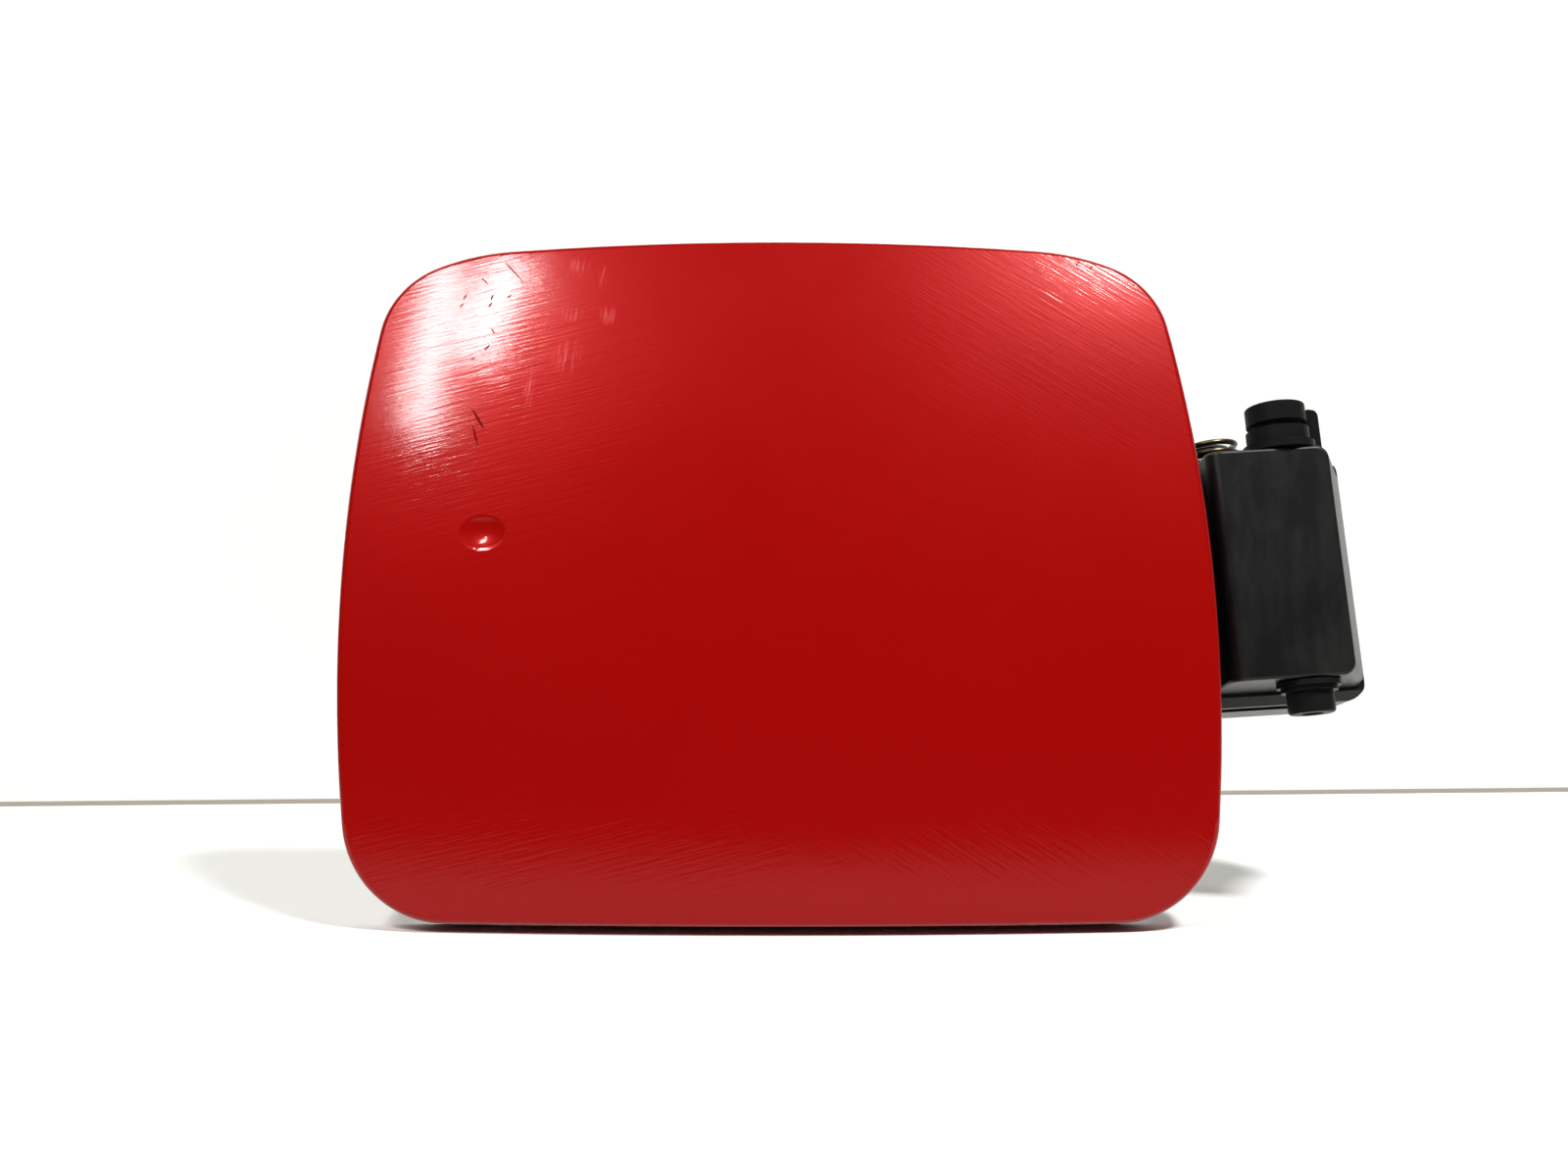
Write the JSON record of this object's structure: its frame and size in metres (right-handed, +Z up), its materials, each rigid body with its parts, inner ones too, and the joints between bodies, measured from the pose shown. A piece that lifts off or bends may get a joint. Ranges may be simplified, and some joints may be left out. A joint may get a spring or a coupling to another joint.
{
  "type": "car fuel door",
  "caption": "Crowned fuel filler door of painted steel with rounded corners and a push dimple, swinging on a moulded goose-neck hinge arm with pivot bushes and a toggle spring.",
  "frame": {"origin": "on the hinge axis, at the middle of the lower bush's journal", "axes": "+X to the hinge side, seen from the front; +Y inwards, away from the painted face; +Z up. The flap leans back by 11.5 degrees, as it stands in the picture."},
  "size_m": [0.2354, 0.0842, 0.1523],
  "materials": {
    "paint": "gloss red",
    "nylon": "moulded black",
    "steel": "bare or plated",
    "alloy": "plain",
    "soft": "matt black"
  },
  "bodies": {
    "hinge_pivot": {"lower_bush": "nylon", "upper_bush": "nylon", "pivot_pin": "steel"},
    "door": {"outer_skin": "paint", "inner_panel": "paint", "hinge_arm": "nylon", "toggle_spring": "steel", "arm_studs": "steel", "arm_nuts": "steel", "latch_striker": "nylon", "striker_rivets": "alloy", "upper_buffer": "soft", "lower_buffer": "soft", "cap_holder": "nylon", "bond_pads": "soft"}
  },
  "joints": [
    {"name": "door_swing", "type": "hinge", "parent": "hinge_pivot", "child": "door", "pos_m": [0, 0, 0], "axis": [-0.0619, 0.199, 0.978], "range_deg": [0, 90]}
  ]
}
